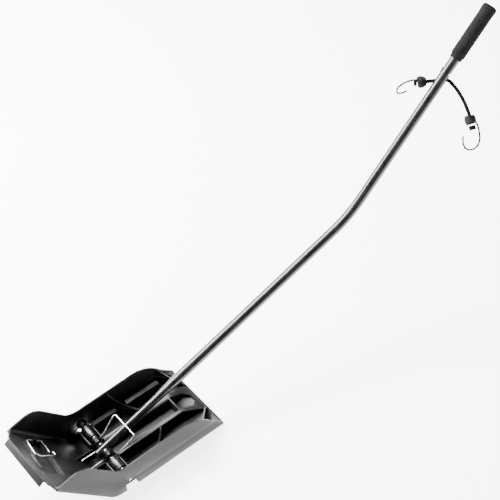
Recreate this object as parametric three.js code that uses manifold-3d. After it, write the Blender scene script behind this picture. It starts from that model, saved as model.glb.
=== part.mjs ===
// Long-handled pivoting scoop: a deep moulded pan that swings on a cross axle at the foot of a
// bent steel tube, pressed against the tube by a double torsion spring. The tube carries a foam
// grip and a short elastic cord with two wire hooks.
// Millimetres. +X across the pan, +Y along the pan's back floor towards the grip, +Z up.
// The origin is on the flat sole, straight below the middle of the axle.
import * as THREE from "three";
import { mergeVertices } from "three/addons/utils/BufferGeometryUtils.js";
import Module from "manifold-3d";

const wasm = await Module();
wasm.setup();

// ---------------------------------------------------------------- driving dimensions
const GAP = 0.3; // between touching pieces
const rad = THREE.MathUtils.degToRad;

// pan
const HALF_WIDTH = 91.3;
const SKIN = 3; // floor and side walls
const RIB = 2.2; // ribs, pockets and ridges
const AXLE_Z = 38.5;
const BACK_Y = 240;
const RIM_Z = 6.5; // top of the back rim
const BEND_Y = -36.2; // where the two floors' undersides would meet
const BEND_RADIUS = 36;
const FRONT_SLOPE = rad(51.2);
const WALL_REACH = 186; // front end of the side walls, measured up the front floor
const LIP_REACH = 203;
const LIP_HALF = 64;
const LIP_DROP = 13; // depth of the turned-down lip
const RIDGE_Z = 31; // top of the moulded ridges
const POCKET_Z = 32.2; // rim of the axle pockets
const POCKET = { inner: 29.7, outer: 71.7, front: -14.4, back: 17.2 };
const RIDGE_IN = [16, 28]; // the inner ridge, across the pan
const RIDGE_OUT = [66, 76];
const CHANNEL_ROUND = 9; // the inner ridge's shoulder, on the middle channel's side
const FILLET = 9; // between the floors and the side walls, inside

// axle and what sits on it
const AXLE_R = 4;
const BORE_R = AXLE_R + GAP;
const AXLE_HALF = 84;
const COIL_WIRE_R = 1.6;
const COIL_R = 10.9; // middle of the spring wire
const COIL_IN = 13.6; // first turn
const COIL_TURNS = 4.1;
const COIL_PITCH = 3.4;

// handle tube
const TUBE_R = 11.1;
const TUBE_WALL = 1.2;
const FOOT_R = 8.25; // swaged foot
const FOOT_PAST_AXLE = 16;
const SWAGE = [143, 221]; // the taper's start and end, from the axle
const LOWER_TILT = rad(18.1);
const LOWER_LENGTH = 712.7; // axle to the corner of the bend
const UPPER_TILT = rad(42.0);
const UPPER_LENGTH = 529.3; // corner of the bend to the grip's end
const TUBE_BEND_R = 230;
const GRIP_LENGTH = 130;
const GRIP_R = 16;

// elastic cord
const CORD_R = 4;
const CORD_FROM_END = 179; // where it crosses the tube, from the grip's end
const CORD_SIDE = new THREE.Vector3(0.6326, 0.7731, -0.0468); // across the plane it hangs in
const CORD_UP = new THREE.Vector3(-0.5391, 0.4828, 0.6901);
const HOOK_WIRE_R = 2;
const CORD_END_R = 7.4; // the covers on the cord's cut ends

// ---------------------------------------------------------------- materials
const material = (color, roughness, metalness) =>
  new THREE.MeshStandardMaterial({ color, roughness, metalness });
const MOULDED = material(0x17181a, 0.45, 0);
const BLACK_PAINT = material(0x141516, 0.3, 0.3);
const FOAM = material(0x3c3d3e, 0.95, 0);
const BRIGHT = material(0xc9cbcd, 0.25, 1);
const SATIN_STEEL = material(0x77797c, 0.45, 1);
const WIRE = material(0x9a9c9e, 0.3, 1);
const CORD = material(0x111112, 0.9, 0);

// ---------------------------------------------------------------- solids
function solid(geometry) {
  const plain = geometry.clone();
  plain.deleteAttribute("normal");
  plain.deleteAttribute("uv");
  const merged = mergeVertices(plain, 1e-4);
  const index = merged.index.array;
  const corners = [];
  for (let i = 0; i < index.length; i += 3) {
    const [a, b, c] = [index[i], index[i + 1], index[i + 2]];
    if (a !== b && b !== c && c !== a) corners.push(a, b, c);
  }
  const build = (tri) =>
    new wasm.Manifold(
      new wasm.Mesh({
        numProp: 3,
        vertProperties: new Float32Array(merged.attributes.position.array),
        triVerts: new Uint32Array(tri),
      }),
    );
  const made = build(corners);
  if (made.volume() >= 0) return made;
  const flipped = [];
  for (let i = 0; i < corners.length; i += 3) {
    flipped.push(corners[i], corners[i + 2], corners[i + 1]);
  }
  return build(flipped);
}

function geometryOf(manifold) {
  const mesh = manifold.getMesh();
  const geometry = new THREE.BufferGeometry();
  geometry.setAttribute("position", new THREE.BufferAttribute(mesh.vertProperties, 3));
  geometry.setIndex(new THREE.BufferAttribute(mesh.triVerts, 1));
  const flat = geometry.toNonIndexed();
  flat.computeVertexNormals();
  return flat;
}

function part(name, shape, look) {
  const geometry = shape.isBufferGeometry ? geometryOf(solid(shape)) : geometryOf(shape);
  const mesh = new THREE.Mesh(geometry, look);
  mesh.name = name;
  return mesh;
}

const joined = (list) => list.reduce((all, one) => all.add(one));
const vec = (x, y, z) => new THREE.Vector3(x, y, z);

function box(x0, x1, y0, y1, z0, z1) {
  const [lo, hi] = [Math.min(x0, x1), Math.max(x0, x1)];
  const geometry = new THREE.BoxGeometry(hi - lo, y1 - y0, z1 - z0);
  geometry.translate((lo + hi) / 2, (y0 + y1) / 2, (z0 + z1) / 2);
  return solid(geometry);
}

// A flat outline swept by depth along the third of the given axes.
function slab(shape, depth, axes, origin) {
  const geometry = new THREE.ExtrudeGeometry(shape, {
    depth,
    bevelEnabled: false,
    curveSegments: 6,
  });
  geometry.applyMatrix4(new THREE.Matrix4().makeBasis(...axes).setPosition(origin));
  return solid(geometry);
}

// An outline in Y and Z swept across X.
function acrossX(shape, x0, x1) {
  const [lo, hi] = [Math.min(x0, x1), Math.max(x0, x1)];
  return slab(shape, hi - lo, [vec(0, 1, 0), vec(0, 0, 1), vec(1, 0, 0)], vec(lo, 0, 0));
}

// An outline in X and Y swept up Z.
function upZ(shape, z0, z1) {
  return slab(shape, z1 - z0, [vec(1, 0, 0), vec(0, 1, 0), vec(0, 0, 1)], vec(0, 0, z0));
}

function outline(points) {
  return new THREE.Shape(points.map(([x, y]) => new THREE.Vector2(x, y)));
}

// A turned shape about X through the axle: the profile is a closed list of [radius, x].
function turnedAboutAxle(profile, sides = 20) {
  const closed = [...profile, profile[0]].map(([r, x]) => new THREE.Vector2(r, x));
  const geometry = new THREE.LatheGeometry(closed, sides);
  geometry.rotateZ(-Math.PI / 2);
  geometry.translate(0, 0, AXLE_Z);
  return geometry;
}

const ring = (inner, outer, x0, x1) =>
  turnedAboutAxle([
    [inner, x0],
    [outer, x0],
    [outer, x1],
    [inner, x1],
  ]);

function rod(radius, from, to, sides = 20) {
  const geometry = new THREE.CylinderGeometry(radius, radius, from.distanceTo(to), sides);
  const along = to.clone().sub(from).normalize();
  geometry.applyQuaternion(new THREE.Quaternion().setFromUnitVectors(vec(0, 1, 0), along));
  geometry.translate(...from.clone().add(to).multiplyScalar(0.5).toArray());
  return geometry;
}

function sweep(path, radius, sides, steps) {
  const section = new THREE.Shape();
  for (let i = 0; i < sides; i += 1) {
    const turn = (2 * Math.PI * i) / sides;
    const put = i === 0 ? "moveTo" : "lineTo";
    section[put](radius * Math.cos(turn), radius * Math.sin(turn));
  }
  return new THREE.ExtrudeGeometry(section, { steps, extrudePath: path, bevelEnabled: false });
}

// Straight runs joined by rounded corners.
function roundedPath(points, radius) {
  const path = new THREE.CurvePath();
  let start = points[0];
  for (let i = 1; i < points.length - 1; i += 1) {
    const before = points[i].clone().sub(start);
    const after = points[i + 1].clone().sub(points[i]);
    const cut = Math.min(radius, before.length() * 0.9, after.length() / 2);
    const enter = points[i].clone().sub(before.setLength(cut));
    const leave = points[i].clone().add(after.setLength(cut));
    path.add(new THREE.LineCurve3(start, enter));
    path.add(new THREE.QuadraticBezierCurve3(enter, points[i], leave));
    start = leave;
  }
  path.add(new THREE.LineCurve3(start, points[points.length - 1]));
  return path;
}

// ---------------------------------------------------------------- scoop pan
// The front floor's own axes: across, up the slope, and out through the underside.
const SLOPE_UP = vec(0, -Math.cos(FRONT_SLOPE), Math.sin(FRONT_SLOPE));
const SLOPE_OUT = vec(0, -Math.sin(FRONT_SLOPE), -Math.cos(FRONT_SLOPE));
const SLOPE_AXES = [vec(1, 0, 0), SLOPE_UP, SLOPE_OUT];
const SLOPE_ORIGIN = vec(0, BEND_Y, 0);

function onSlope(across, up, out) {
  return vec(across, BEND_Y, 0).addScaledVector(SLOPE_UP, up).addScaledVector(SLOPE_OUT, out);
}

function slopeSlab(shape, out0, out1) {
  const origin = SLOPE_ORIGIN.clone().addScaledVector(SLOPE_OUT, out0);
  return slab(shape, out1 - out0, SLOPE_AXES, origin);
}

// The floor line from the back rim round the bend to the given reach, moved inwards.
function floorLine(inwards, reach) {
  const run = BEND_RADIUS * Math.tan(FRONT_SLOPE / 2);
  const line = [[BACK_Y, inwards]];
  const steps = 6;
  for (let i = 0; i <= steps; i += 1) {
    const turn = (FRONT_SLOPE * i) / steps;
    const r = BEND_RADIUS - inwards;
    line.push([BEND_Y + run - r * Math.sin(turn), BEND_RADIUS - r * Math.cos(turn)]);
  }
  const end = onSlope(0, reach, -inwards);
  line.push([end.y, end.z]);
  return line;
}

function wallShape(inwards = 0) {
  const shape = outline(floorLine(inwards, WALL_REACH));
  shape.quadraticCurveTo(-149, 149, -136, 151.5);
  shape.lineTo(-112, 157.5);
  shape.quadraticCurveTo(-88, 161, -70, 138.5);
  shape.lineTo(-28, 86);
  shape.quadraticCurveTo(-14, 71.5, 12, 75.5);
  shape.lineTo(146, 79);
  shape.quadraticCurveTo(186, 73, 212, 34);
  shape.lineTo(BACK_Y, RIM_Z + 0.8);
  return shape;
}

function floorBand() {
  const band = acrossX(
    outline([...floorLine(0, LIP_REACH), ...floorLine(SKIN, LIP_REACH).reverse()]),
    -HALF_WIDTH,
    HALF_WIDTH,
  );
  const lip = slopeSlab(
    outline([
      [-LIP_HALF, LIP_REACH - SKIN],
      [LIP_HALF, LIP_REACH - SKIN],
      [LIP_HALF, LIP_REACH],
      [-LIP_HALF, LIP_REACH],
    ]),
    -SKIN,
    LIP_DROP,
  );
  const rim = box(-HALF_WIDTH, HALF_WIDTH, BACK_Y - SKIN, BACK_Y, 0, RIM_Z);
  return joined([band, rim, lip]);
}

// The round inner corner between a side wall and the floors.
function filletStrip(side) {
  const wall = HALF_WIDTH - SKIN;
  const section = [[wall + 1.5, 1.5], [wall - FILLET, 1.5]];
  for (let i = 0; i <= 5; i += 1) {
    const turn = (Math.PI / 2) * (i / 5);
    const across = wall - FILLET + FILLET * Math.sin(turn);
    section.push([across, SKIN + FILLET * (1 - Math.cos(turn))]);
  }
  section.push([wall + 1.5, SKIN + FILLET]);
  const rows = section.map(([across, inwards]) =>
    floorLine(inwards, WALL_REACH).map(([y, z]) => [side * across, y, z]),
  );
  const steps = rows[0].length;
  const corners = [];
  const index = [];
  rows.forEach((row) => row.forEach((p) => corners.push(...p)));
  const id = (i, j) => (i % rows.length) * steps + j;
  for (let i = 0; i < rows.length; i += 1) {
    for (let j = 0; j + 1 < steps; j += 1) {
      index.push(id(i, j), id(i + 1, j), id(i + 1, j + 1));
      index.push(id(i, j), id(i + 1, j + 1), id(i, j + 1));
    }
  }
  for (let i = 1; i + 1 < rows.length; i += 1) {
    index.push(id(0, 0), id(i + 1, 0), id(i, 0));
    index.push(id(0, steps - 1), id(i, steps - 1), id(i + 1, steps - 1));
  }
  const geometry = new THREE.BufferGeometry();
  geometry.setAttribute("position", new THREE.Float32BufferAttribute(corners, 3));
  geometry.setIndex(index);
  return solid(geometry).intersect(acrossX(wallShape(), side * 60, side * (HALF_WIDTH - 1)));
}

// The S-shaped cut beside the lip, between the wall's front end and the lip's corner.
function lipCut(side) {
  const shape = new THREE.Shape();
  const far = HALF_WIDTH + 4;
  shape.moveTo(side * far, WALL_REACH);
  shape.lineTo(side * HALF_WIDTH, WALL_REACH);
  shape.quadraticCurveTo(side * 79, WALL_REACH + 1, side * 76, WALL_REACH + 7);
  shape.quadraticCurveTo(side * 74, WALL_REACH + 12, side * 68, WALL_REACH + 11);
  shape.lineTo(side * LIP_HALF, WALL_REACH + 14);
  shape.lineTo(side * LIP_HALF, LIP_REACH + 4);
  shape.lineTo(side * far, LIP_REACH + 4);
  return slopeSlab(shape, -SKIN - 4, LIP_DROP + 4);
}

function rectangle(x0, x1, y0, y1) {
  return [
    [x0, y0],
    [x1, y0],
    [x1, y1],
    [x0, y1],
  ];
}

// A ridge's end view, with a round shoulder on the side nearer the middle.
function ridgeView(side, x0, x1, top, round) {
  const shape = new THREE.Shape();
  shape.moveTo(side * x0, -1);
  shape.lineTo(side * x0, top - round);
  shape.quadraticCurveTo(side * x0, top, side * (x0 + round), top);
  shape.lineTo(side * x1, top);
  shape.lineTo(side * x1, -1);
  return shape;
}

function alongY(shape, y0, y1) {
  return slab(shape, y1 - y0, [vec(-1, 0, 0), vec(0, 0, 1), vec(0, 1, 0)], vec(0, y0, 0));
}

function ridge(side, [x0, x1], y0, y1, round = 1.5) {
  const outer = ridgeView(-side, x0, x1, RIDGE_Z, round);
  const innerRound = Math.max(round - RIB, 1);
  const inner = ridgeView(-side, x0 + RIB, x1 - RIB, RIDGE_Z - RIB, innerRound);
  return {
    add: alongY(outer, y0, y1).intersect(box(-HALF_WIDTH, HALF_WIDTH, y0, y1, 1, RIDGE_Z)),
    cut: alongY(inner, y0 + RIB, y1 - RIB),
  };
}

function pocket(side) {
  const { inner, outer, front, back } = POCKET;
  const end = RIDGE_OUT[1];
  const cheek = (y) => box(side * inner, side * end, y, y + RIB, 1, POCKET_Z);
  const saddle = new THREE.Shape();
  saddle.moveTo(front, 1);
  saddle.lineTo(back, 1);
  saddle.lineTo(back, POCKET_Z);
  saddle.lineTo(9, POCKET_Z);
  saddle.absarc(0, AXLE_Z - 1, 8.5, 0, Math.PI, false);
  saddle.lineTo(-9, POCKET_Z);
  saddle.lineTo(front, POCKET_Z);
  const ends = [inner, outer - RIB].map((x) => acrossX(saddle, side * x, side * (x + RIB)));
  return joined([cheek(front), cheek(back - RIB), ...ends]);
}

// The axle snaps down into a slot that is narrower than the axle at its mouth.
function axleSlot() {
  const hole = solid(rod(BORE_R, vec(-80, 0, AXLE_Z), vec(80, 0, AXLE_Z)));
  return hole.add(box(-80, 80, -BORE_R + 1, BORE_R - 1, AXLE_Z, AXLE_Z + 20));
}

function gusset(side) {
  const plate = outline([
    [POCKET.front + 1, 0.5],
    [POCKET.front + 1, 25],
    [-70, 31],
    [-70, 0.5],
  ]);
  return acrossX(plate, side * 20.9, side * (20.9 + RIB));
}

// A thin cross rib from a wall's top, slanting back to the inner ridge.
function crossRib(side) {
  const from = vec(side * (HALF_WIDTH - 1), 73, 0);
  const to = vec(side * (RIDGE_IN[1] - 1), 124, 0);
  const along = to.clone().sub(from);
  const length = along.length();
  along.normalize();
  const shape = new THREE.Shape();
  shape.moveTo(0, 1);
  shape.lineTo(length, 1);
  shape.lineTo(length, RIDGE_Z - 1);
  shape.quadraticCurveTo(length * 0.32, RIDGE_Z + 3, 0, 74);
  const side3 = along.clone().cross(vec(0, 0, 1));
  return slab(shape, RIB, [along, vec(0, 0, 1), side3], from);
}

function hullOf(points) {
  return wasm.Manifold.hull(points.map((p) => p.toArray()));
}

// Each back corner has a thin wall across it and, behind that, a sloping three-cornered web.
function cornerWeb(side) {
  const inWall = HALF_WIDTH - 1;
  const at = (x, y, z) => vec(side * x, y, z);
  const [low, high] = [at(34, BACK_Y - 2, RIM_Z), at(inWall, 190, 58)];
  const thick = high.clone().sub(low).cross(vec(0, 0, 1)).setLength(RIB);
  const edge = [low, high].flatMap((p) => [p, vec(p.x, p.y, 1)]);
  const wall = hullOf(edge.flatMap((p) => [p, p.clone().add(thick)]));
  const web = [at(50, BACK_Y - 1, RIM_Z - 1), at(inWall, 212, 28), at(inWall, BACK_Y - 1, RIM_Z - 1)];
  const drop = vec(0, 0, -RIB * 1.3);
  return wall.add(hullOf(web.flatMap((p) => [p, p.clone().add(drop)])));
}

const BRIDGE_Y = 179; // front of the bridge, a thin wall across the middle channel
const HEX = [
  [-20, BRIDGE_Y + RIB],
  [20, BRIDGE_Y + RIB],
  [21, 214],
  [8, 228],
  [-8, 228],
  [-21, 214],
];
const scaledAbout = (points, grow, cx, cy) =>
  points.map(([x, y]) => [x + Math.sign(x - cx) * grow, y + Math.sign(y - cy) * grow]);

// The raised bridge at the back: it joins the inner ridges, slopes to the rim and
// holds the six-sided clearance recess below the tube.
function backBridge() {
  const plan = [
    [-28, BRIDGE_Y],
    [28, BRIDGE_Y],
    [40, BACK_Y - 1],
    [-40, BACK_Y - 1],
  ];
  const innerPlan = [
    [-28 + RIB, BRIDGE_Y + RIB],
    [28 - RIB, BRIDGE_Y + RIB],
    [40 - RIB, BACK_Y - SKIN - 1],
    [-40 + RIB, BACK_Y - SKIN - 1],
  ];
  const slope = (drop) =>
    acrossX(
      outline([
        [BRIDGE_Y - 4, -5],
        [BACK_Y + 2, -5],
        [BACK_Y + 2, RIM_Z - drop],
        [BACK_Y - 4, RIM_Z - drop],
        [BRIDGE_Y + 3, RIDGE_Z - drop],
        [BRIDGE_Y - 4, RIDGE_Z - drop],
      ]),
      -60,
      60,
    );
  const outer = upZ(outline(plan), 1, 60).intersect(slope(0));
  const keep = upZ(outline(scaledAbout(HEX, RIB, 0, 205)), 0, 60);
  const inner = upZ(outline(innerPlan), -1, 60).intersect(slope(RIB)).subtract(keep);
  return { add: outer, cut: inner, recess: upZ(outline(HEX), SKIN, 60) };
}

// The shallow tray sunk below the front floor, with a rib on its upper side.
const TRAY = [
  [-66, 107],
  [-20, 110],
  [36, 119],
  [37, 168],
  [30, 175],
  [-20, 162],
  [-63, 149],
];
const TRAY_DEPTH = 9;

function wallNotch(side) {
  const shape = outline([
    [-9.5, -1],
    [19.8, -1],
    [13.7, 18],
    [9, 18.6],
    [-1, 18],
    [-9.5, 18.8],
  ]);
  const wall = acrossX(shape, side * (RIDGE_OUT[1] + 1), side * (HALF_WIDTH + 2));
  const floor = box(side * (POCKET.outer + 1), side * (HALF_WIDTH + 2), -9.5, 14, -1, 6);
  const from = vec(side * (HALF_WIDTH - 8), 2.9, 26);
  const hole = solid(rod(4.4, from, vec(side * (HALF_WIDTH + 2), 2.9, 26), 16));
  return joined([wall, floor, hole]);
}

// wire catch on the front floor: a loop of bent wire round the tray's far half, whose end hooks
// over its start; a small lug holds it
const CATCH_WIRE_R = 1.3;
const CATCH_OUT = -SKIN - CATCH_WIRE_R - GAP;
const CATCH_LUG = { across: -67.5, up: 128, length: 8, width: 6 };
const CATCH_LINE = [
  onSlope(-33, 108.5, CATCH_OUT),
  onSlope(-70, 104.5, CATCH_OUT),
  onSlope(-65.2, 152, CATCH_OUT),
  onSlope(-20, 161.5, CATCH_OUT),
  onSlope(-12, 154, CATCH_OUT - 1.5),
  onSlope(-17.5, 110, CATCH_OUT - 3.2),
  onSlope(-21, 102.5, CATCH_OUT - 3.2),
  onSlope(-30, 103, CATCH_OUT - 3.2),
];

function catchLug() {
  const { across, up, length, width } = CATCH_LUG;
  const block = slopeSlab(
    outline(rectangle(across - width / 2, across + width / 2, up - length / 2, up + length / 2)),
    CATCH_OUT - CATCH_WIRE_R - 2,
    -SKIN + 1,
  );
  const wire = rod(CATCH_WIRE_R + GAP, CATCH_LINE[1], CATCH_LINE[2], 12);
  return block.subtract(solid(wire));
}

function scoopPan() {
  const walls = [-1, 1].map((side) =>
    acrossX(wallShape(), side * (HALF_WIDTH - SKIN), side * HALF_WIDTH),
  );
  let pan = joined([floorBand(), ...walls]);
  const adds = [];
  const cuts = [];
  for (const side of [-1, 1]) {
    adds.push(pocket(side), gusset(side), crossRib(side), cornerWeb(side), filletStrip(side));
    const ridges = [
      ridge(side, RIDGE_IN, POCKET.back - 1, BRIDGE_Y + 2, CHANNEL_ROUND),
      ridge(side, RIDGE_OUT, POCKET.back - 1, 79),
      ridge(side, RIDGE_OUT, 104, 188),
    ];
    for (const { add, cut } of ridges) {
      adds.push(add);
      cuts.push(cut);
    }
  }
  const bridge = backBridge();
  adds.push(bridge.add);
  cuts.push(bridge.cut);
  const inside = acrossX(wallShape(SKIN / 2), -HALF_WIDTH + 1, HALF_WIDTH - 1);
  pan = pan.add(joined(adds).intersect(inside));
  pan = pan.subtract(joined(cuts)).subtract(bridge.recess).subtract(axleSlot());
  const trayOuter = slopeSlab(outline(scaledAbout(TRAY, RIB, -14, 140)), -1, TRAY_DEPTH);
  pan = pan.add(trayOuter).subtract(slopeSlab(outline(TRAY), -SKIN - 3, TRAY_DEPTH - RIB));
  pan = pan.add(slopeSlab(outline(rectangle(-14, 29, 177.5, 180)), -SKIN - 4, -1));
  pan = pan.add(catchLug());
  for (const side of [-1, 1]) pan = pan.subtract(lipCut(side)).subtract(wallNotch(side));
  return part("scoop_pan", pan, MOULDED);
}

function wireCatch() {
  return part("wire_catch", sweep(roundedPath(CATCH_LINE, 4), CATCH_WIRE_R, 6, 48), WIRE);
}

// ---------------------------------------------------------------- axle group
function axlePieces() {
  const shaft = rod(AXLE_R, vec(-AXLE_HALF, 0, AXLE_Z), vec(AXLE_HALF, 0, AXLE_Z));
  const list = [part("axle", shaft, SATIN_STEEL)];
  for (const [name, side] of [["left", -1], ["right", 1]]) {
    const at = (profile) => turnedAboutAxle(profile.map(([r, x]) => [r, side * x]));
    const cap = [
      [BORE_R, 73],
      [8, 73],
      [8, 79],
      [11.5, 79],
      [11.5, 81.5],
      [9.2, 81.5],
      [9.2, 82.8],
      [11, 82.8],
      [11, 85],
      [8.5, 86.6],
      [0, 86.6],
      [0, AXLE_HALF + GAP],
      [BORE_R, AXLE_HALF + GAP],
    ];
    list.push(part(`axle_cap_${name}`, at(cap), MOULDED));
    const hoop = (label, r, x0, x1, look) =>
      list.push(part(`${label}_${name}`, ring(BORE_R, r, side * x0, side * x1), look));
    hoop("sleeve_washer_inner", 6.5, 32.3, 34.8, BRIGHT);
    hoop("spacer_sleeve", 10, 35.1, 66.2, SATIN_STEEL);
    hoop("sleeve_washer_outer", 6.5, 66.6, 69.1, BRIGHT);
    const bushing = [
      [BORE_R, 10.9],
      [10, 10.9],
      [10, 11.7],
      [8.4, 11.7],
      [8.4, 29.3],
      [BORE_R, 29.3],
    ];
    list.push(part(`spring_bushing_${name}`, at(bushing), MOULDED));
    hoop("tube_washer", 7.5, 8.7, 10.5, BRIGHT);
  }
  return list;
}

// One wire: coil, leg, crossbar over the tube, leg, coil.
class SpringLine extends THREE.Curve {
  constructor() {
    super();
    const bail = [this.coil(1, 1), vec(28.6, 13.4, AXLE_Z - 3.3), vec(36.4, 57.7, AXLE_Z + 29.8)];
    const mirrored = bail.map((p) => vec(-p.x, p.y, p.z)).reverse();
    this.bail = roundedPath([...bail, ...mirrored], 6);
  }
  // s runs from the coil's inner end to the turn where the leg leaves
  coil(s, side) {
    const turn = 2 * Math.PI * COIL_TURNS * s - Math.PI / 2;
    const x = COIL_IN + COIL_TURNS * COIL_PITCH * s;
    return vec(side * x, COIL_R * Math.cos(turn), AXLE_Z + COIL_R * Math.sin(turn));
  }
  getPoint(t) {
    const share = 0.33;
    if (t < share) return this.coil(t / share, 1);
    if (t > 1 - share) return this.coil((1 - t) / share, -1);
    return this.bail.getPointAt((t - share) / (1 - 2 * share));
  }
  getPointAt(t) {
    return this.getPoint(t);
  }
  getTangentAt(t) {
    return this.getTangent(t);
  }
}

function torsionSpring() {
  return part("torsion_spring", sweep(new SpringLine(), COIL_WIRE_R, 6, 120), WIRE);
}

function springTangs() {
  return [["left", -1], ["right", 1]].map(([name, side]) => {
    const start = vec(side * COIL_IN, -2, AXLE_Z - COIL_R - COIL_WIRE_R * 2 - GAP);
    const end = vec(side * (COIL_IN + 1), -47, start.z - 1.4);
    const wire = sweep(new THREE.LineCurve3(start, end), COIL_WIRE_R, 6, 1);
    return part(`spring_tang_${name}`, wire, WIRE);
  });
}

// ---------------------------------------------------------------- handle
// The handle's own frame: +Y along the lower tube from the axle, +Z above it.
const BEND_TURN = UPPER_TILT - LOWER_TILT;

class HandleLine extends THREE.Curve {
  constructor(start, end) {
    super();
    this.start = start;
    this.end = end;
    this.run = TUBE_BEND_R * Math.tan(BEND_TURN / 2);
  }
  // parts 0..1 lower straight, 1..11 bend, 11..12 upper straight
  getPoint(t) {
    const at = t * 12;
    const from = LOWER_LENGTH - this.run;
    if (at <= 1) return vec(0, THREE.MathUtils.lerp(this.start, from, at), 0);
    const turn = BEND_TURN * Math.min((at - 1) / 10, 1);
    const y = from + TUBE_BEND_R * Math.sin(turn);
    const z = TUBE_BEND_R * (1 - Math.cos(turn));
    const rest = Math.max(at - 11, 0) * (this.end - this.run);
    return vec(0, y + rest * Math.cos(BEND_TURN), z + rest * Math.sin(BEND_TURN));
  }
  getPointAt(t) {
    return this.getPoint(t);
  }
  getTangentAt(t) {
    const turn = BEND_TURN * THREE.MathUtils.clamp((t * 12 - 1) / 10, 0, 1);
    return vec(0, Math.cos(turn), Math.sin(turn));
  }
}

function turnedAlong(profile, sides = 20) {
  const closed = [...profile, profile[0]].map(([r, y]) => new THREE.Vector2(r, y));
  return new THREE.LatheGeometry(closed, sides);
}

const tubeStop = UPPER_LENGTH - 5; // the tube ends just short of the grip's closed end

function handleTube(cordHole, pinHole) {
  const outer = solid(sweep(new HandleLine(-FOOT_PAST_AXLE, tubeStop), TUBE_R, 20, 12));
  const bore = solid(
    sweep(new HandleLine(SWAGE[1] - 1, tubeStop + 5), TUBE_R - TUBE_WALL, 20, 12),
  );
  const footBoreR = FOOT_R - TUBE_WALL;
  const footBore = solid(
    turnedAlong([
      [0, -FOOT_PAST_AXLE - 5],
      [footBoreR, -FOOT_PAST_AXLE - 5],
      [footBoreR, SWAGE[0]],
      [TUBE_R - TUBE_WALL - 0.1, SWAGE[1]],
      [0, SWAGE[1]],
    ]),
  );
  const outside = solid(
    turnedAlong([
      [FOOT_R, -FOOT_PAST_AXLE - 5],
      [30, -FOOT_PAST_AXLE - 5],
      [30, SWAGE[1] + 4],
      [TUBE_R + 0.3, SWAGE[1] + 4],
      [FOOT_R, SWAGE[0]],
    ]),
  );
  const axleHole = solid(rod(BORE_R, vec(-20, 0, 0), vec(20, 0, 0)));
  const tube = joined([bore, footBore, outside, axleHole, cordHole, pinHole]);
  return part("handle_tube", outer.subtract(tube), BLACK_PAINT);
}

function grip() {
  const inner = TUBE_R + GAP;
  const length = GRIP_LENGTH;
  return part(
    "handle_grip",
    turnedAlong(
      [
        [inner, 0],
        [13.2, 0],
        [13.8, 1.5],
        [13.8, 6],
        [GRIP_R - 0.6, 9],
        [GRIP_R - 0.2, 12],
        [GRIP_R - 0.2, length - 22],
        [GRIP_R + 0.6, length - 10],
        [GRIP_R + 0.3, length - 4],
        [GRIP_R - 3, length],
        [0, length],
        [0, length - 4.6],
        [inner, length - 4.6],
      ],
      24,
    ),
    FOAM,
  );
}

// ---------------------------------------------------------------- elastic cord
// Where the cord crosses the tube, in the part's frame.
const CORD_AT = vec(
  0,
  LOWER_LENGTH * Math.cos(LOWER_TILT) + (UPPER_LENGTH - CORD_FROM_END) * Math.cos(UPPER_TILT),
  AXLE_Z +
    LOWER_LENGTH * Math.sin(LOWER_TILT) +
    (UPPER_LENGTH - CORD_FROM_END) * Math.sin(UPPER_TILT),
);

// A place in the plane that the cord and its hooks hang in.
function hang(across, up, back = 0) {
  const out = CORD_SIDE.clone().cross(CORD_UP);
  return CORD_AT.clone()
    .addScaledVector(CORD_SIDE, across)
    .addScaledVector(CORD_UP, up)
    .addScaledVector(out, -back);
}

const CORD_ROUTE = [
  hang(-50, -6.2, 6),
  hang(-36, -5, 6),
  hang(-24, -4, 5),
  hang(-12, -3, 3),
  hang(0, -2.6, 2.6),
  hang(10, -1.8, 3),
  hang(16, -3.6, 3.2),
  hang(23, -10.5, 3),
  hang(33, -23, 2),
  hang(45.6, -44, 1),
  hang(54.1, -64, 0),
  hang(58.8, -78, 0),
  hang(62, -92, 0),
];

const cordLine = () => new THREE.CatmullRomCurve3(CORD_ROUTE, false, "centripetal");

function bungeeCord() {
  return part("bungee_cord", sweep(cordLine(), CORD_R, 8, 16), CORD);
}

function cordHole() {
  return solid(sweep(cordLine(), CORD_R + 0.6, 12, 40));
}

// The winding round the cord's end is one closed ribbed sleeve with the hook wire on it.
function hookWinding(from, to, radii) {
  const length = from.distanceTo(to);
  const inner = CORD_R + GAP;
  const profile = [[inner, 0]];
  radii.forEach((r, i) => {
    const at = (length * i) / radii.length;
    const next = (length * (i + 1)) / radii.length;
    profile.push([r - 1.2, at], [r, THREE.MathUtils.lerp(at, next, 0.3)]);
    profile.push([r, THREE.MathUtils.lerp(at, next, 0.7)], [r - 1.2, next]);
  });
  profile.push([inner, length]);
  const geometry = turnedAlong(profile, 16);
  const along = to.clone().sub(from).normalize();
  geometry.applyQuaternion(new THREE.Quaternion().setFromUnitVectors(vec(0, 1, 0), along));
  geometry.translate(...from.toArray());
  return solid(geometry);
}

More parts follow.
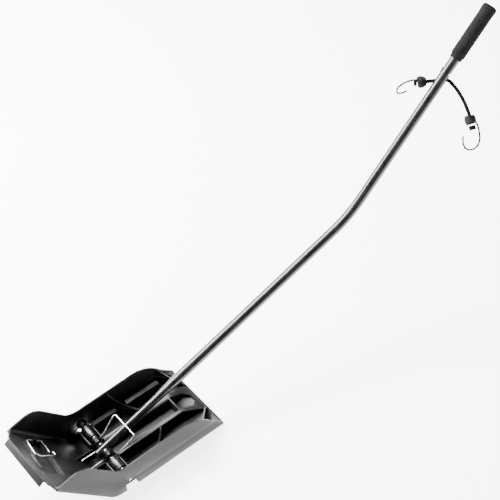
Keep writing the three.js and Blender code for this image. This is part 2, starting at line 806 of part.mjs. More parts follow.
function hookPieces() {
  const leftCoil = [hang(-30, -4.5, 5.6), hang(-52, -6.4, 6)];
  const rightCoil = [hang(57.4, -75, 0), hang(62.8, -97, 0)];
  const leftWire = [
    hang(-47, -5, -3.6),
    hang(-54, -3, -4),
    hang(-62, -3, -2),
    hang(-72, -5.6, 2),
    hang(-84, -11.6, 3),
    hang(-93.4, -22, 3),
    hang(-92.6, -28.5, 3),
    hang(-86, -29.4, 3),
    hang(-72.5, -25.2, 3),
  ];
  const rightWire = [
    hang(70.5, -88, 0),
    hang(75.5, -97, 0),
    hang(79, -112, 0),
    hang(79.5, -130, 0),
    hang(74, -142, 0),
    hang(63, -148.5, 0),
    hang(52, -147, 0),
    hang(46, -138, 0),
    hang(45, -120, 0),
  ];
  const make = (name, coil, wire, radii) => {
    const line = new THREE.CatmullRomCurve3(wire, false, "centripetal");
    const body = hookWinding(coil[0], coil[1], radii).add(solid(sweep(line, HOOK_WIRE_R, 8, 20)));
    const bore = solid(sweep(cordLine(), CORD_R + GAP, 12, 60));
    return part(name, body.subtract(bore), WIRE);
  };
  return [
    make("bungee_hook_left", leftCoil, leftWire, [9, 11.5, 13, 13.8, 13.6, 12]),
    make("bungee_hook_right", rightCoil, rightWire, [10.5, 12.6, 13.4, 13.4, 12.8, 11]),
    part("cord_end_left", rod(CORD_END_R, hang(-52.6, -6.5, 6), hang(-57.5, -7, 6), 14), CORD),
    part("cord_end_right", rod(CORD_END_R, hang(63.4, -98.4, 0), hang(65.6, -107, 0), 14), CORD),
  ];
}

// Polished pin with a domed head on the tube's left side, just above the cord.
const PIN_FROM_END = 163;
const PIN_R = 3;

function retainingPin() {
  const head = TUBE_R + GAP;
  const profile = [
    [0, -TUBE_R - 1],
    [PIN_R, -TUBE_R - 1],
    [PIN_R, head],
    [6.5, head],
    [6.5, head + 1.5],
    [4.2, head + 5],
    [0, head + 6],
  ];
  return turnedAlong(profile, 16).rotateZ(Math.PI / 2);
}

// ---------------------------------------------------------------- assembly
const group = new THREE.Group();
group.add(scoopPan(), wireCatch(), ...axlePieces(), torsionSpring(), ...springTangs());

const handle = new THREE.Group();
handle.position.set(0, 0, AXLE_Z);
handle.rotation.x = LOWER_TILT;
const upper = new THREE.Group();
upper.position.set(0, LOWER_LENGTH, 0);
upper.rotation.x = BEND_TURN;
handle.add(upper);

const pinAt = UPPER_LENGTH - PIN_FROM_END;
const toHandle = new THREE.Matrix4()
  .makeRotationX(-LOWER_TILT)
  .multiply(new THREE.Matrix4().makeTranslation(0, 0, -AXLE_Z));
const fromUpper = new THREE.Matrix4()
  .makeTranslation(0, LOWER_LENGTH, 0)
  .multiply(new THREE.Matrix4().makeRotationX(BEND_TURN));
const pinHole = rod(PIN_R + GAP, vec(-30, pinAt, 0), vec(30, pinAt, 0)).applyMatrix4(fromUpper);
handle.add(handleTube(cordHole().transform(toHandle.elements), solid(pinHole)));

const foam = grip();
foam.position.y = UPPER_LENGTH - GRIP_LENGTH;
const pin = part("retaining_pin", retainingPin(), BRIGHT);
pin.position.y = pinAt;
upper.add(foam, pin);

group.add(handle, bungeeCord(), ...hookPieces());

export default group;
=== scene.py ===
"""A long-handled scoop: a black moulded pan on a sprung axle at the foot of a bent tube."""

from math import cos, pi, radians, sin, tan

import bpy
from mathutils import Matrix, Vector


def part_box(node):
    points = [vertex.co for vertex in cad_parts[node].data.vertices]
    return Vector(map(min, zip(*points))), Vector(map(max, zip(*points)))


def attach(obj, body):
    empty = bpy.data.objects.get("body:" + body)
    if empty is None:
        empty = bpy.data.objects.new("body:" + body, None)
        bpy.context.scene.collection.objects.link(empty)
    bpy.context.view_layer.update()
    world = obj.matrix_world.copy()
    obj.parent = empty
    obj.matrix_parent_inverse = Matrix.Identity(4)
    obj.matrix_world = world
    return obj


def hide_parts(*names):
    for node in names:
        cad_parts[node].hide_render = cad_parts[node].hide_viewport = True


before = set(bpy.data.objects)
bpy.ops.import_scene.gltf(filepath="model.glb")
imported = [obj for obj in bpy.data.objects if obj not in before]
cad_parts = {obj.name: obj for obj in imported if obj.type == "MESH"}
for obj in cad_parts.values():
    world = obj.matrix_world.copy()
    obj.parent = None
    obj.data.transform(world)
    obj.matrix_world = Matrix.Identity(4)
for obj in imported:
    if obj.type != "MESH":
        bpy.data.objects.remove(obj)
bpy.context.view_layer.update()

MM = 0.001
SIDES = (("left", -1), ("right", 1))

# ------------------------------------------------------------------ camera
VIEW_RIGHT = Vector((0.6326, 0.7731, -0.0468))
VIEW_UP = Vector((-0.5391, 0.4828, 0.6901))
VIEW_BACK = VIEW_RIGHT.cross(VIEW_UP)
CAMERA_PLACE = Vector((1.3029, -0.5560, 2.0361))
LENS = 84.0
SENSOR = 36.0
FARTHEST = 50

camera_data = bpy.data.cameras.new("camera")
camera_data.lens = LENS
camera_data.sensor_width = SENSOR
camera_data.clip_end = FARTHEST
camera = bpy.data.objects.new("camera", camera_data)
bpy.context.scene.collection.objects.link(camera)
turn = Matrix((VIEW_RIGHT, VIEW_UP, VIEW_BACK)).transposed().to_4x4()
camera.matrix_world = Matrix.Translation(CAMERA_PLACE) @ turn
bpy.context.scene.camera = camera

# ------------------------------------------------------------------ driving sizes, in metres
AXLE_LOW, AXLE_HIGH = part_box("axle")
AXLE_Z = (AXLE_LOW.z + AXLE_HIGH.z) / 2
AXLE_R = (AXLE_HIGH.z - AXLE_LOW.z) / 2
PIVOT = Vector((0, 0, AXLE_Z))
RIDGE_Z = 0.031  # the tops of the pan's moulded ridges
POCKETS_BACK = 0.014  # where the axle pockets end and the ridges begin

LOWER_TILT = radians(18.1)
UPPER_TILT = radians(42.0)
LOWER_LENGTH = 0.7127  # axle to the corner of the bend
UPPER_LENGTH = 0.5293  # corner of the bend to the grip's end
TUBE_R = 0.0111
TUBE_WALL = 0.0012
FOOT_R = 0.00825
FOOT_PAST_AXLE = 0.016
SWAGE_START = 0.143  # the taper, measured from the axle
SWAGE_END = 0.221
BEND_R = 0.230
GRIP_LENGTH = 0.130
GRIP_END_THICK = 0.005
CORD_FROM_END = 0.179

LOWER_WAY = Vector((0, cos(LOWER_TILT), sin(LOWER_TILT)))
UPPER_WAY = Vector((0, cos(UPPER_TILT), sin(UPPER_TILT)))
CORNER = PIVOT + LOWER_WAY * LOWER_LENGTH
HANDLE_END = CORNER + UPPER_WAY * UPPER_LENGTH
CORD_AT = HANDLE_END - UPPER_WAY * CORD_FROM_END


def hang(across, up, back=0.0):
    """A place in the plane that the cord hangs in, in millimetres from where it crosses the tube."""
    return CORD_AT + (VIEW_RIGHT * across + VIEW_UP * up - VIEW_BACK * back) * MM


# ------------------------------------------------------------------ making pieces
SHARP = 30  # degrees; edges sharper than this are rounded
CORNER_STEPS = 6


def deselect():
    """Leaves edit mode and clears the selection."""
    if bpy.context.object and bpy.context.object.mode != "OBJECT":
        bpy.ops.object.mode_set(mode="OBJECT")
    bpy.ops.object.select_all(action="DESELECT")


def activate(piece):
    """Makes the piece the one that operators act on."""
    deselect()
    piece.select_set(True)
    bpy.context.view_layer.objects.active = piece


def settle(piece, name, body, look, slot, *stands_for, keeps_looks=False):
    """Names a finished piece, puts its place in its mesh, and sets its look and its body."""
    activate(piece)
    bpy.ops.object.transform_apply(location=True, rotation=True, scale=True)
    piece.name = name
    piece.data.name = name
    if not keeps_looks:
        piece.data.materials.clear()
        piece.data.materials.append(look)
    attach(piece, body)
    if stands_for:
        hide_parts(*stands_for)
    return piece


def smooth(piece, angle=35):
    activate(piece)
    bpy.ops.object.shade_smooth_by_angle(angle=radians(angle))


def apply_all(piece):
    activate(piece)
    for modifier in list(piece.modifiers):
        bpy.ops.object.modifier_apply(modifier=modifier.name)


def turned(profile, start, way, steps=48):
    """A round piece: a closed profile of (radius, distance along way), in millimetres, spun about
    the line from start."""
    deselect()
    way = way.normalized()
    out = way.orthogonal().normalized()
    bpy.ops.mesh.primitive_circle_add(vertices=len(profile), radius=0.01)
    piece = bpy.context.object
    for vertex, (radius, along) in zip(piece.data.vertices, profile):
        vertex.co = start + out * radius * MM + way * along * MM
    activate(piece)
    bpy.ops.object.mode_set(mode="EDIT")
    bpy.ops.mesh.select_all(action="SELECT")
    bpy.ops.mesh.spin(steps=steps, angle=2 * pi, center=start, axis=way, dupli=False)
    bpy.ops.mesh.select_all(action="SELECT")
    bpy.ops.mesh.remove_doubles(threshold=1e-6)
    bpy.ops.mesh.select_all(action="SELECT")
    bpy.ops.mesh.dissolve_degenerate(threshold=1e-7)
    bpy.ops.mesh.select_all(action="SELECT")
    bpy.ops.mesh.normals_make_consistent(inside=False)
    bpy.ops.object.mode_set(mode="OBJECT")
    return piece


def softened(piece, width, edge_slot=-1):
    """Rounds the piece's sharp edges; width is in millimetres."""
    bevel = piece.modifiers.new("soft_edges", "BEVEL")
    bevel.width = width * MM
    bevel.segments = 2
    bevel.limit_method = "ANGLE"
    bevel.angle_limit = radians(SHARP)
    bevel.harden_normals = False
    bevel.material = edge_slot
    apply_all(piece)
    smooth(piece)
    return piece


def wire(points, radius, sides, smooth_line=True):
    """A closed round wire along points, as a mesh; the radius is in millimetres."""
    line = line_curve(points, radius, sides, smooth_line)
    activate(line)
    bpy.ops.object.convert(target="MESH")
    piece = bpy.context.object
    bpy.ops.object.mode_set(mode="EDIT")
    bpy.ops.mesh.select_all(action="SELECT")
    bpy.ops.mesh.remove_doubles(threshold=1e-7)
    bpy.ops.mesh.select_all(action="SELECT")
    bpy.ops.mesh.normals_make_consistent(inside=False)
    bpy.ops.object.mode_set(mode="OBJECT")
    smooth(piece, 50)
    return piece


def line_curve(points, radius, sides, smooth_line=True):
    """A round line along points: smooth through them, or straight between them."""
    data = bpy.data.curves.new("line", "CURVE")
    data.dimensions = "3D"
    data.bevel_depth = radius * MM
    data.bevel_resolution = sides
    data.use_fill_caps = True
    data.resolution_u = 8
    spline = data.splines.new("BEZIER" if smooth_line else "POLY")
    if smooth_line:
        spline.bezier_points.add(len(points) - 1)
        for knot, point in zip(spline.bezier_points, points):
            knot.co = point
            knot.handle_left_type = knot.handle_right_type = "AUTO"
    else:
        spline.points.add(len(points) - 1)
        for knot, point in zip(spline.points, points):
            knot.co = (*point, 1)
    line = bpy.data.objects.new("line", data)
    bpy.context.scene.collection.objects.link(line)
    return line


def rounded_corners(points, radius):
    """The points of a line with its corners rounded off."""
    out = [points[0]]
    for before, corner, after in zip(points, points[1:], points[2:]):
        one = before - corner
        two = after - corner
        cut = min(radius, one.length * 0.45, two.length * 0.45)
        enter = corner + one.normalized() * cut
        leave = corner + two.normalized() * cut
        for i in range(CORNER_STEPS + 1):
            t = i / CORNER_STEPS
            out.append(enter * (1 - t) ** 2 + corner * 2 * t * (1 - t) + leave * t * t)
    out.append(points[-1])
    return out


def refined(node, width, edge_slot):
    """A copy of a frame node with its flat faces whole again and its edges rounded."""
    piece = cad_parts[node].copy()
    piece.data = piece.data.copy()
    for key in list(piece.keys()):
        del piece[key]
    piece.parent = None
    bpy.context.scene.collection.objects.link(piece)
    activate(piece)
    bpy.ops.object.mode_set(mode="EDIT")
    bpy.ops.mesh.select_all(action="SELECT")
    bpy.ops.mesh.remove_doubles(threshold=2e-5)
    bpy.ops.mesh.select_all(action="SELECT")
    bpy.ops.mesh.dissolve_limited(angle_limit=radians(1))
    bpy.ops.object.mode_set(mode="OBJECT")
    return softened(piece, width, edge_slot)


# ------------------------------------------------------------------ finishes
LOW_GREY = 0.35  # the part of a noise pattern's greys that is used
HIGH_GREY = 0.65


def new_look(name):
    """A fresh material and the parts of it that the finishes work on."""
    look = bpy.data.materials.new(name)
    look.use_nodes = True
    nodes = look.node_tree.nodes
    shader = nodes["Principled BSDF"]
    return look, nodes, look.node_tree.links, shader


def pattern(nodes, links, kind, scale, stretch=(1, 1, 1), detail=4.0):
    """A noise or wave pattern in the object's own metres."""
    place = nodes.new("ShaderNodeTexCoord")
    mapping = nodes.new("ShaderNodeMapping")
    mapping.inputs["Scale"].default_value = stretch
    links.new(place.outputs["Object"], mapping.inputs["Vector"])
    texture = nodes.new(kind)
    texture.inputs["Scale"].default_value = scale
    if "Detail" in texture.inputs:
        texture.inputs["Detail"].default_value = detail
    links.new(mapping.outputs["Vector"], texture.inputs["Vector"])
    return texture


def ramp(nodes, links, source, low, high, start=LOW_GREY, stop=HIGH_GREY):
    """Maps a pattern's grey to a range of values."""
    mapped = nodes.new("ShaderNodeMapRange")
    mapped.inputs["From Min"].default_value = start
    mapped.inputs["From Max"].default_value = stop
    mapped.inputs["To Min"].default_value = low
    mapped.inputs["To Max"].default_value = high
    links.new(source, mapped.inputs["Value"])
    return mapped.outputs["Result"]


def tint(nodes, links, source, dark, light, start=LOW_GREY, stop=HIGH_GREY):
    """Maps a pattern's grey to a range of colours."""
    blend = nodes.new("ShaderNodeValToRGB")
    blend.color_ramp.elements[0].position = start
    blend.color_ramp.elements[0].color = (*dark, 1)
    blend.color_ramp.elements[1].position = stop
    blend.color_ramp.elements[1].color = (*light, 1)
    links.new(source, blend.inputs["Fac"])
    return blend.outputs["Color"]


def bump(nodes, links, shader, height, strength, distance):
    """Raises the surface by a pattern; the distance is in metres."""
    node = nodes.new("ShaderNodeBump")
    node.inputs["Strength"].default_value = strength
    node.inputs["Distance"].default_value = distance
    links.new(height, node.inputs["Height"])
    links.new(node.outputs["Normal"], shader.inputs["Normal"])


def object_place(nodes, links):
    """The surface's own place, split into X, Y and Z."""
    place = nodes.new("ShaderNodeTexCoord")
    split = nodes.new("ShaderNodeSeparateXYZ")
    links.new(place.outputs["Object"], split.inputs["Vector"])
    return split.outputs


def color_mix(nodes, links, share):
    """A node that blends its colour A into its colour B by share."""
    mix = nodes.new("ShaderNodeMix")
    mix.data_type = "RGBA"
    links.new(share, mix.inputs["Factor"])
    return mix


def moulded_plastic():
    """Fine-grained black plastic, painted lighter grey on the tops of the ridges as painted light.
    """
    look, nodes, links, shader = new_look("moulded_plastic")
    shader.inputs["Specular IOR Level"].default_value = 0.2
    cloud = pattern(nodes, links, "ShaderNodeTexNoise", 22, detail=5)
    grain = pattern(nodes, links, "ShaderNodeTexNoise", 1500, detail=2)
    color = tint(nodes, links, cloud.outputs["Fac"], (0.006, 0.0062, 0.0066), (0.01, 0.0103, 0.011))
    # Painted light: the ridge tops behind the axle pockets get a lighter grey that stands in for the
    # light falling on them.
    painted_ridge_light = tint(nodes, links, cloud.outputs["Fac"], (0.02, 0.02, 0.0203), (0.09, 0.09, 0.0915))
    place = object_place(nodes, links)
    top = ramp(nodes, links, place["Z"], 0, 1, RIDGE_Z - 0.004, RIDGE_Z - 0.0005)
    over = ramp(nodes, links, place["Z"], 1, 0, RIDGE_Z + 0.0003, RIDGE_Z + 0.0009)
    behind = ramp(nodes, links, place["Y"], 0, 1, POCKETS_BACK, POCKETS_BACK + 0.004)
    share = top
    for other in (over, behind):
        times = nodes.new("ShaderNodeMath")
        times.operation = "MULTIPLY"
        links.new(share, times.inputs[0])
        links.new(other, times.inputs[1])
        share = times.outputs["Value"]
    mix = color_mix(nodes, links, share)
    links.new(color, mix.inputs["A"])
    links.new(painted_ridge_light, mix.inputs["B"])
    links.new(mix.outputs["Result"], shader.inputs["Base Color"])
    links.new(ramp(nodes, links, cloud.outputs["Fac"], 0.36, 0.46), shader.inputs["Roughness"])
    bump(nodes, links, shader, grain.outputs["Fac"], 0.35, 0.00012)
    return look


def plastic_edge():
    """The moulding's rounded edges, painted light grey as a painted highlight along them."""
    look, nodes, links, shader = new_look("moulded_plastic_edge")
    cloud = pattern(nodes, links, "ShaderNodeTexNoise", 60, detail=5)
    # Painted highlight: the light grey on the bevel faces stands in for the light that the rounded
    # edges catch.
    color = tint(nodes, links, cloud.outputs["Fac"], (0.2, 0.2, 0.202), (0.32, 0.32, 0.322))
    links.new(color, shader.inputs["Base Color"])
    links.new(ramp(nodes, links, cloud.outputs["Fac"], 0.25, 0.38), shader.inputs["Roughness"])
    return look


def black_coat():
    """Glossy black powder coat with a slight orange peel."""
    look, nodes, links, shader = new_look("black_coat")
    cloud = pattern(nodes, links, "ShaderNodeTexNoise", 40, detail=4)
    peel = pattern(nodes, links, "ShaderNodeTexNoise", 120, detail=2)
    color = tint(nodes, links, cloud.outputs["Fac"], (0.006, 0.006, 0.0065), (0.012, 0.012, 0.0125))
    links.new(color, shader.inputs["Base Color"])
    links.new(ramp(nodes, links, cloud.outputs["Fac"], 0.22, 0.3), shader.inputs["Roughness"])
    shader.inputs["Coat Weight"].default_value = 0.25
    shader.inputs["Specular IOR Level"].default_value = 0.45
    shader.inputs["Coat Roughness"].default_value = 0.16
    bump(nodes, links, shader, peel.outputs["Fac"], 0.03, 0.0002)
    return look


def foam():
    """Matt closed-cell foam."""
    look, nodes, links, shader = new_look("grip_foam")
    cells = pattern(nodes, links, "ShaderNodeTexVoronoi", 900)
    cloud = pattern(nodes, links, "ShaderNodeTexNoise", 60, detail=5)
    color = tint(nodes, links, cloud.outputs["Fac"], (0.005, 0.005, 0.0051), (0.01, 0.01, 0.0102))
    links.new(color, shader.inputs["Base Color"])
    links.new(ramp(nodes, links, cloud.outputs["Fac"], 0.82, 0.95), shader.inputs["Roughness"])
    shader.inputs["Specular IOR Level"].default_value = 0.08
    bump(nodes, links, shader, cells.outputs["Distance"], 0.5, 0.0005)
    return look


def spring_steel():
    """Bright drawn wire whose coils are painted darker than its legs, as painted shade."""
    look = steel("spring_wire", (0.42, 0.43, 0.44), (0.62, 0.63, 0.64), 0.26, 900)
    nodes, links = look.node_tree.nodes, look.node_tree.links
    shader = nodes["Principled BSDF"]
    bright_legs = shader.inputs["Base Color"].links[0].from_socket
    place = object_place(nodes, links)
    # Painted shade: the wire within 12 mm behind the axle, the coils, is painted dark grey, blending
    # into the bright legs by 17 mm.
    mix = color_mix(nodes, links, ramp(nodes, links, place["Y"], 0, 1, 0.012, 0.017))
    mix.inputs["A"].default_value = (0.05, 0.05, 0.052, 1)
    links.new(bright_legs, mix.inputs["B"])
    links.new(mix.outputs["Result"], shader.inputs["Base Color"])
    return look


def steel(name, dark, light, rough, lines_scale, strength=0.1, metal=1.0, shine=0.5):
    """Bare, plated or blackened steel with fine lines left by turning or drawing."""
    look, nodes, links, shader = new_look(name)
    shader.inputs["Metallic"].default_value = metal
    shader.inputs["Specular IOR Level"].default_value = shine
    lines = pattern(nodes, links, "ShaderNodeTexNoise", lines_scale, (1, 0.08, 0.08), detail=3)
    cloud = pattern(nodes, links, "ShaderNodeTexNoise", 90, detail=5)
    color = tint(nodes, links, cloud.outputs["Fac"], dark, light)
    links.new(color, shader.inputs["Base Color"])
    gloss = ramp(nodes, links, lines.outputs["Fac"], rough - 0.07, rough + 0.1)
    links.new(gloss, shader.inputs["Roughness"])
    bump(nodes, links, shader, lines.outputs["Fac"], strength, 0.0002)
    return look


def woven(name, dark, light):
    """A braided cover with small raised strands."""
    look, nodes, links, shader = new_look(name)
    strands = pattern(nodes, links, "ShaderNodeTexVoronoi", 1300)
    cloud = pattern(nodes, links, "ShaderNodeTexNoise", 300, detail=4)
    color = tint(nodes, links, strands.outputs["Distance"], light, dark, 0.1, 0.7)
    links.new(color, shader.inputs["Base Color"])
    links.new(ramp(nodes, links, cloud.outputs["Fac"], 0.75, 0.95), shader.inputs["Roughness"])
    shader.inputs["Specular IOR Level"].default_value = 0.12
    bump(nodes, links, shader, strands.outputs["Distance"], 0.6, 0.0004)
    return look


PLASTIC = moulded_plastic()
PLASTIC_EDGE = plastic_edge()
COAT = black_coat()
FOAM = foam()
BRIGHT = steel("bright_plate", (0.62, 0.63, 0.65), (0.8, 0.81, 0.82), 0.22, 700)
SATIN = steel("dull_plate", (0.03, 0.03, 0.031), (0.09, 0.09, 0.092), 0.38, 2600, 0.2)
SPRING = spring_steel()
CATCH = steel("catch_wire", (0.42, 0.43, 0.44), (0.62, 0.63, 0.64), 0.3, 900, 0.03)
TANG = steel("tang_wire", (0.06, 0.06, 0.062), (0.12, 0.12, 0.125), 0.35, 900)
HOOK = steel(
    "hook_wire", (0.004, 0.004, 0.0042), (0.014, 0.014, 0.0143), 0.5, 900, 0.03, metal=0.0, shine=0.1
)
BRAID = woven("cord_braid", (0.001, 0.001, 0.001), (0.005, 0.005, 0.0052))
RUBBER = woven("cord_end_cover", (0.0006, 0.0006, 0.0006), (0.002, 0.002, 0.002))

# ------------------------------------------------------------------ elastic cord and its hooks
CORD_R = 4.0  # millimetres, as all the sizes from here to the handle
HOOK_WIRE_R = 2.0
COIL_WIRE_R = 0.8 * HOOK_WIRE_R
COIL_STEPS = 16  # in one turn
CORD_EXIT = hang(-24, -4, 5)
ROUTE = [
    hang(-50, -6.2, 6),
    hang(-36, -5, 6),
    CORD_EXIT,
    hang(-12, -3, 3),
    hang(0, -2.6, 2.6),
    hang(10, -1.8, 3),
    hang(16, -3.6, 3.2),
    hang(23, -10.5, 3),
    hang(33, -23, 2),
    hang(45.6, -44, 1),
    hang(54.1, -64, 0),
    hang(58.8, -78, 0),
    hang(62, -92, 0),
]
LEFT_HOOK = [
    hang(-47, -5, -3.6),
    hang(-54, -3, -4),
    hang(-62, -3, -2),
    hang(-72, -5.6, 2),
    hang(-84, -11.6, 3),
    hang(-93.4, -22, 3),
    hang(-92.6, -28.5, 3),
    hang(-86, -29.4, 3),
    hang(-72.5, -25.2, 3),
]
RIGHT_HOOK = [
    hang(70.5, -88, 0),
    hang(75.5, -97, 0),
    hang(79, -112, 0),
    hang(79.5, -130, 0),
    hang(74, -142, 0),
    hang(63, -148.5, 0),
    hang(52, -147, 0),
    hang(46, -138, 0),
    hang(45, -120, 0),
]
# Where each hook's coil starts and stops, and the outer radius of each turn.
COILS = {
    "left": (hang(-30, -4.5, 5.6), hang(-52, -6.4, 6), [9, 11.5, 13, 13.8, 13.6, 12]),
    "right": (hang(57.4, -75, 0), hang(62.8, -97, 0), [10.5, 12.6, 13.4, 13.4, 12.8, 11]),
}


def winding(start, stop, radii):
    """The close turns of a hook's wire round the cord's end, from start to stop."""
    way = (stop - start).normalized()
    length = (stop - start).length
    out = way.orthogonal().normalized()
    across = way.cross(out)
    margin = HOOK_WIRE_R * MM
    steps = len(radii) * COIL_STEPS
    points = []
    for i in range(steps + 1):
        share = i / steps
        at = share * (len(radii) - 1)
        low = min(int(at), len(radii) - 2)
        radius = radii[low] + (radii[low + 1] - radii[low]) * (at - low) - HOOK_WIRE_R
        angle = 2 * pi * i / COIL_STEPS
        spoke = out * cos(angle) + across * sin(angle)
        points.append(start + way * (margin + share * (length - 2 * margin)) + spoke * radius * MM)
    return points


def cord_line():
    """The cord itself, which stays a live curve."""
    line = line_curve(ROUTE, CORD_R, 5)
    line.name = "elastic_cord"
    line.data.name = "elastic_cord"
    line.data.materials.append(BRAID)
    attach(line, "handle")
    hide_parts("bungee_cord")
    return line


def bungee():
    """The cord with a wound wire hook at each end."""
    cord = cord_line()
    shown = []
    for name, points in (("left", LEFT_HOOK), ("right", RIGHT_HOOK)):
        coil = wire(winding(*COILS[name]), COIL_WIRE_R, 3, smooth_line=False)
        hook = wire(points, HOOK_WIRE_R, 4)
        coil = settle(coil, f"hook_winding_{name}", "handle", HOOK, "hook_wire")
        hook = settle(hook, f"hook_{name}", "handle", HOOK, "hook_wire", f"bungee_hook_{name}")
        shown += [coil, hook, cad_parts[f"cord_end_{name}"]]


bungee()


# ------------------------------------------------------------------ handle
def handle_tube():
    """One tube: swaged foot, taper, lower run, bend and upper run, then its wall."""
    deselect()
    foot = PIVOT - LOWER_WAY * FOOT_PAST_AXLE
    bpy.ops.mesh.primitive_circle_add(
        vertices=48, radius=FOOT_R, location=foot, rotation=(LOWER_TILT - pi / 2, 0, 0)
    )
    tube = bpy.context.object
    bpy.ops.object.transform_apply(location=True, rotation=True, scale=True)
    bpy.ops.object.mode_set(mode="EDIT")
    bpy.ops.mesh.select_all(action="SELECT")

    def run(length, way):
        bpy.ops.mesh.extrude_region_move(TRANSFORM_OT_translate={"value": way * length})

    bend = UPPER_TILT - LOWER_TILT
    reach = BEND_R * tan(bend / 2)
    run(FOOT_PAST_AXLE + SWAGE_START, LOWER_WAY)
    run(SWAGE_END - SWAGE_START, LOWER_WAY)
    grow = TUBE_R / FOOT_R
    bpy.ops.transform.resize(value=(grow, grow, grow), center_override=PIVOT + LOWER_WAY * SWAGE_END)
    run(LOWER_LENGTH - reach - SWAGE_END, LOWER_WAY)
    across = Vector((0, -sin(LOWER_TILT), cos(LOWER_TILT)))
    middle = CORNER - LOWER_WAY * reach + across * BEND_R
    bpy.ops.mesh.spin(steps=16, angle=bend, center=middle, axis=(-1, 0, 0))
    run(UPPER_LENGTH - GRIP_END_THICK - reach, UPPER_WAY)
    bpy.ops.mesh.select_all(action="SELECT")
    bpy.ops.mesh.remove_doubles(threshold=1e-6)
    bpy.ops.mesh.select_all(action="SELECT")
    bpy.ops.mesh.normals_make_consistent(inside=False)
    bpy.ops.object.mode_set(mode="OBJECT")
    wall = tube.modifiers.new("wall", "SOLIDIFY")
    wall.thickness = TUBE_WALL
    wall.offset = -1
    wall.use_rim = True
    apply_all(tube)
    smooth(tube)
    settle(tube, "tube", "handle", COAT, "black_paint", "handle_tube")


def grip_sleeve():
    """The foam sleeve: a narrow collar, a straight body and a slightly swollen end."""
    start = HANDLE_END - UPPER_WAY * GRIP_LENGTH
    profile = [
        (11.4, 0.3),
        (12.6, 0),
        (13.4, 0.7),
        (13.8, 2),
        (13.8, 6.2),
        (14.2, 7.6),
        (15.4, 9.2),
        (15.8, 12),
        (15.8, 60),
        (15.8, 108),
        (16.4, 117),
        (16.5, 122),
        (16.1, 126),
        (14.8, 128.8),
        (12.4, 129.9),
        (6.0, 130),
        (0, 130),
        (0, 125.4),
        (11.4, 125.4),
    ]
    grip = turned(profile, start, UPPER_WAY, 64)
    smooth(grip, 50)
    settle(grip, "grip_sleeve", "handle", FOAM, "foam_grip", "handle_grip")


handle_tube()
grip_sleeve()


# ------------------------------------------------------------------ pan
PAN_EDGE = 0.9  # millimetres


def pan_moulding():
    """The pan with rounded edges, which carry a painted highlight of their own."""
    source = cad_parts["scoop_pan"]
    source.data.materials.clear()
    source.data.materials.append(PLASTIC)
    source.data.materials.append(PLASTIC_EDGE)
    pan = refined("scoop_pan", PAN_EDGE, edge_slot=1)
    settle(pan, "pan_moulding", "scoop", PLASTIC, "moulded_plastic", "scoop_pan", keeps_looks=True)


pan_moulding()

# ------------------------------------------------------------------ spring, in millimetres
SPRING_WIRE_R = 1.6
SPRING_IN = 13.6  # the first turn's distance from the middle
SPRING_TURNS = 4.1
SPRING_PITCH = 3.4
SPRING_R = 10.9
SPRING_STEPS = 20  # in one turn
LEG_ROUND = 6
# A leg's corners, from the coil to the bar that lies under the tube.
LEG = ((28.6, 13.4, -3.3), (36.4, 57.7, 29.8))


def spring_coil(side):
    """One coil's turns, from the tube outwards."""
    steps = int(SPRING_TURNS * SPRING_STEPS)
    points = []
    for i in range(steps + 1):
        turns = SPRING_TURNS * (i / steps)
        angle = 2 * pi * turns - pi / 2
        x = side * (SPRING_IN + SPRING_PITCH * turns)
        points.append(PIVOT + Vector((x, SPRING_R * cos(angle), SPRING_R * sin(angle))) * MM)
    return points


def spring_points():
    """The whole wire: the right coil, both legs and the bar between them, and the left coil."""
    right = spring_coil(1)
    left = spring_coil(-1)[::-1]
    right_leg = [PIVOT + Vector((x, y, z)) * MM for x, y, z in LEG]
    left_leg = [PIVOT + Vector((-x, y, z)) * MM for x, y, z in reversed(LEG)]
    legs = [right[-1], *right_leg, *left_leg, left[0]]
    return right[:-1] + rounded_corners(legs, LEG_ROUND * MM) + left[1:]


spring = wire(spring_points(), SPRING_WIRE_R, 4, smooth_line=False)
settle(spring, "pan_spring", "handle", SPRING, "spring_wire", "torsion_spring")


# ------------------------------------------------------------------ axle stack, in millimetres
BORE_R = AXLE_R / MM + 0.3
WASHER_R = 6.5
FOOT_WASHER_R = 7.5
SLEEVE_R = 10
AXLE_EDGE = 0.5
SLEEVE_EDGE = 0.5
SMALL_EDGE = 0.3


def ring(outer, x0, x1):
    """A plain ring's profile; x0 and x1 are distances from the middle of the axle."""
    return [(BORE_R, x0), (outer, x0), (outer, x1), (BORE_R, x1)]


BUSHING = [(4.3, 10.9), (10, 10.9), (10, 11.7), (8.4, 11.7), (8.4, 29.3), (4.3, 29.3)]
CAP = [
    (4.3, 73),
    (8, 73),
    (8, 79),
    (11.5, 79),
    (11.5, 81.5),
    (9.2, 81.5),
    (9.2, 82.8),
    (11, 82.8),
    (11, 85),
    (8.5, 86.6),
    (0, 86.6),
    (0, 84.3),
    (4.3, 84.3),
]
# Each piece's name, profile, body, look, slot, the node that it stands for, and its edges' rounding.
STACK = (
    ("inner_washer", ring(WASHER_R, 32.3, 34.8), "scoop", BRIGHT,
     "bright_steel", "sleeve_washer_inner", SMALL_EDGE),
    ("outer_washer", ring(WASHER_R, 66.6, 69.1), "scoop", BRIGHT,
     "bright_steel", "sleeve_washer_outer", SMALL_EDGE),
    ("sleeve", ring(SLEEVE_R, 35.1, 66.2), "scoop", SATIN,
     "satin_steel", "spacer_sleeve", SLEEVE_EDGE),
    ("foot_washer", ring(FOOT_WASHER_R, 8.7, 10.5), "handle", BRIGHT,
     "bright_steel", "tube_washer", SMALL_EDGE),
    ("bushing", BUSHING, "handle", PLASTIC, "moulded_plastic", "spring_bushing", SMALL_EDGE),
    ("cap", CAP, "scoop", PLASTIC, "moulded_plastic", "axle_cap", SMALL_EDGE),
)


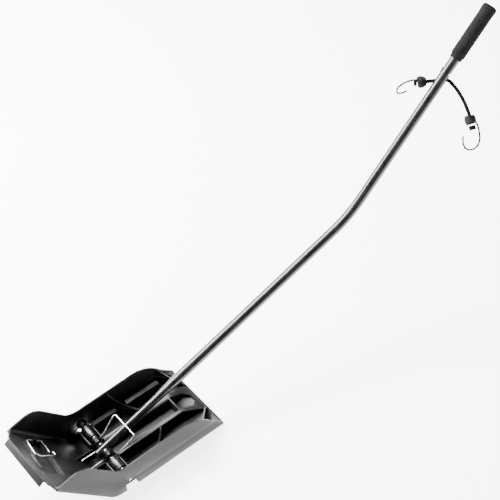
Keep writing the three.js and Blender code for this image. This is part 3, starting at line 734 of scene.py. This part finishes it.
def cross_axle():
    """The plain rod that everything at the foot turns on."""
    reach = AXLE_HIGH.x / MM
    profile = [(0, -reach), (AXLE_R / MM, -reach), (AXLE_R / MM, reach), (0, reach)]
    rod = turned(profile, PIVOT, Vector((1, 0, 0)))
    softened(rod, AXLE_EDGE)
    settle(rod, "cross_axle", "scoop", SATIN, "satin_steel", "axle")


def stack_pieces(side_name, side):
    """The washers, sleeve, bushing and cap on one side of the tube."""
    for name, profile, body, look, slot, node, edge in STACK:
        piece = turned([(r, side * x) for r, x in profile], PIVOT, Vector((1, 0, 0)))
        softened(piece, edge)
        settle(piece, f"{name}_{side_name}", body, look, slot, f"{node}_{side_name}")


cross_axle()
for side_name, side in SIDES:
    stack_pieces(side_name, side)

# ------------------------------------------------------------------ nodes that keep their shape
for node, look in (
    ("wire_catch", CATCH),
    ("spring_tang_left", TANG),
    ("spring_tang_right", TANG),
    ("retaining_pin", BRIGHT),
    ("cord_end_left", RUBBER),
    ("cord_end_right", RUBBER),
):
    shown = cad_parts[node]
    shown.data.materials.clear()
    shown.data.materials.append(look)


# ------------------------------------------------------------------ floor and light, in metres
FLOOR_SIZE = 160
FLOOR_Z = -0.0006
FLOOR_GLOW = 4.3
SKY_HORIZON = 3.6
SKY_OVERHEAD = 0.35


def floor_look():
    """A pale floor that glows evenly."""
    look, nodes, links, shader = new_look("pale_floor")
    shader.inputs["Base Color"].default_value = (0.9, 0.9, 0.9, 1)
    shader.inputs["Roughness"].default_value = 0.9
    shader.inputs["Specular IOR Level"].default_value = 0.1
    shader.inputs["Emission Color"].default_value = (1, 1, 1, 1)
    shader.inputs["Emission Strength"].default_value = FLOOR_GLOW
    return look


def sky():
    """A dark grey sky, ten times brighter at the horizon than overhead."""
    world = bpy.data.worlds.new("studio")
    bpy.context.scene.world = world
    world.use_nodes = True
    nodes, links = world.node_tree.nodes, world.node_tree.links
    background = nodes["Background"]
    place = nodes.new("ShaderNodeTexCoord")
    split = nodes.new("ShaderNodeSeparateXYZ")
    links.new(place.outputs["Generated"], split.inputs["Vector"])
    strength = ramp(nodes, links, split.outputs["Z"], SKY_HORIZON, SKY_OVERHEAD, 0.05, 0.45)
    links.new(strength, background.inputs["Strength"])


def softbox(name, place, aim, along, size, power):
    """A rectangular light of so many watts, its long side as near to along as its aim allows."""
    data = bpy.data.lights.new(name, "AREA")
    data.shape = "RECTANGLE"
    data.size, data.size_y = size
    data.energy = power
    lamp = bpy.data.objects.new(name, data)
    bpy.context.scene.collection.objects.link(lamp)
    back = (Vector(place) - Vector(aim)).normalized()
    long = (Vector(along) - back * back.dot(Vector(along))).normalized()
    turn = Matrix((long.cross(back), long, back)).transposed().to_4x4()
    lamp.matrix_world = Matrix.Translation(place) @ turn


def studio():
    deselect()
    bpy.ops.mesh.primitive_plane_add(size=FLOOR_SIZE, location=(0, 0, FLOOR_Z))
    floor = bpy.context.object
    floor.name = "floor"
    floor.data.materials.append(floor_look())
    sky()
    softbox("strip", (-1.88, -0.45, 2.1), (0, 0.5, 0.25), (0, -0.855, -0.519), (0.9, 2.8), 620)
    softbox("leg", (-0.77, 0.0, 2.4), (0, 0.3, 0.14), (0, 0.95, 0.31), (0.6, 1.4), 90)
    softbox("side", (1.9, 0.9, 0.9), (0, 0.2, 0.1), (0, 1, 0), (0.8, 1.6), 2)


studio()
